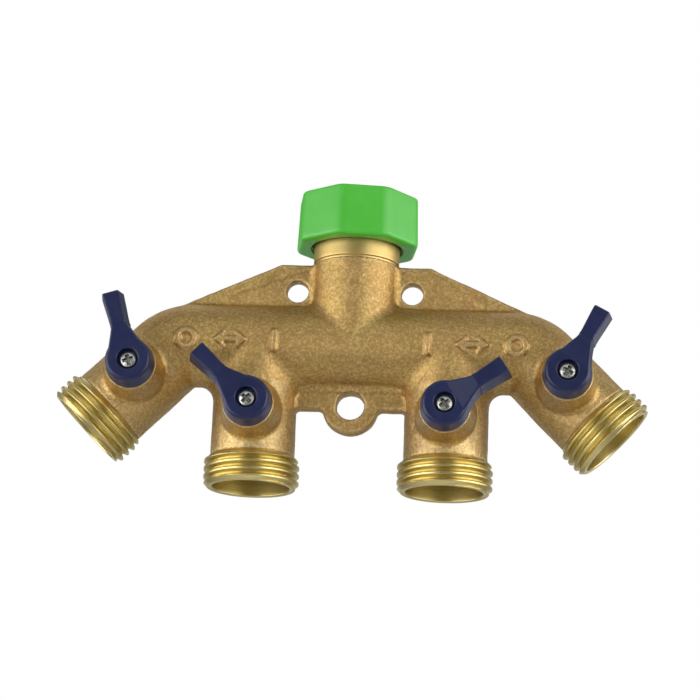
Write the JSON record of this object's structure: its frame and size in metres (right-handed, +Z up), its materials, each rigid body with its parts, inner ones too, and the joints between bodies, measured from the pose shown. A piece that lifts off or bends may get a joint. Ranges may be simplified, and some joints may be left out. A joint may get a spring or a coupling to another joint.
{
  "type": "hose splitter",
  "caption": "Hose manifold with a swivel threaded inlet on top and a row of threaded outlets below, each shut off by its own quarter-turn lever.",
  "frame": {"origin": "centre of the inlet washer's upper face, where the end of the tap seats", "axes": "+Z up along the inlet, +X to the right along the manifold tube, -Y towards the levers"},
  "size_m": [0.1674, 0.0454, 0.0854],
  "materials": {
    "cast_brass": "sand cast, bead blasted",
    "turned_brass": "turned",
    "green_plastic": "smooth moulded",
    "blue_plastic": "satin moulded",
    "black_rubber": "moulded",
    "white_seat": "machined",
    "chromed_ball": "polished",
    "spring_steel": "drawn wire",
    "plated_steel": "zinc plated"
  },
  "bodies": {
    "manifold": {"manifold_body": "cast_brass", "inlet_washer": "black_rubber", "retaining_ring": "spring_steel", "left_outer_upstream_seat": "white_seat", "left_outer_downstream_seat": "white_seat", "left_outer_seat_retainer": "turned_brass", "left_inner_upstream_seat": "white_seat", "left_inner_downstream_seat": "white_seat", "left_inner_seat_retainer": "turned_brass", "right_inner_upstream_seat": "white_seat", "right_inner_downstream_seat": "white_seat", "right_inner_seat_retainer": "turned_brass", "right_outer_upstream_seat": "white_seat", "right_outer_downstream_seat": "white_seat", "right_outer_seat_retainer": "turned_brass"},
    "swivel_nut": {"swivel_nut_core": "turned_brass", "swivel_nut_grip": "green_plastic"},
    "left_outer_valve": {"left_outer_ball": "chromed_ball", "left_outer_stem": "turned_brass", "left_outer_stem_seals": "black_rubber", "left_outer_lever": "blue_plastic", "left_outer_lever_screw": "plated_steel"},
    "left_inner_valve": {"left_inner_ball": "chromed_ball", "left_inner_stem": "turned_brass", "left_inner_stem_seals": "black_rubber", "left_inner_lever": "blue_plastic", "left_inner_lever_screw": "plated_steel"},
    "right_inner_valve": {"right_inner_ball": "chromed_ball", "right_inner_stem": "turned_brass", "right_inner_stem_seals": "black_rubber", "right_inner_lever": "blue_plastic", "right_inner_lever_screw": "plated_steel"},
    "right_outer_valve": {"right_outer_ball": "chromed_ball", "right_outer_stem": "turned_brass", "right_outer_stem_seals": "black_rubber", "right_outer_lever": "blue_plastic", "right_outer_lever_screw": "plated_steel"}
  },
  "joints": [
    {"name": "swivel_nut_spin", "type": "hinge", "parent": "manifold", "child": "swivel_nut", "pos_m": [0, 0, 0], "axis": [0, 0, 1], "continuous": true},
    {"name": "left_outer_valve_turn", "type": "hinge", "parent": "manifold", "child": "left_outer_valve", "pos_m": [-0.06062, 0, -0.04762], "axis": [0, -1, 0], "range_deg": [-62.4, 27.6]},
    {"name": "left_inner_valve_turn", "type": "hinge", "parent": "manifold", "child": "left_inner_valve", "pos_m": [-0.02725, 0, -0.05765], "axis": [0, -1, 0], "range_deg": [-47.6, 42.4]},
    {"name": "right_inner_valve_turn", "type": "hinge", "parent": "manifold", "child": "right_inner_valve", "pos_m": [0.02725, 0, -0.05765], "axis": [0, -1, 0], "range_deg": [-34.6, 55.4]},
    {"name": "right_outer_valve_turn", "type": "hinge", "parent": "manifold", "child": "right_outer_valve", "pos_m": [0.06062, 0, -0.04762], "axis": [0, -1, 0], "range_deg": [-17, 73]}
  ]
}
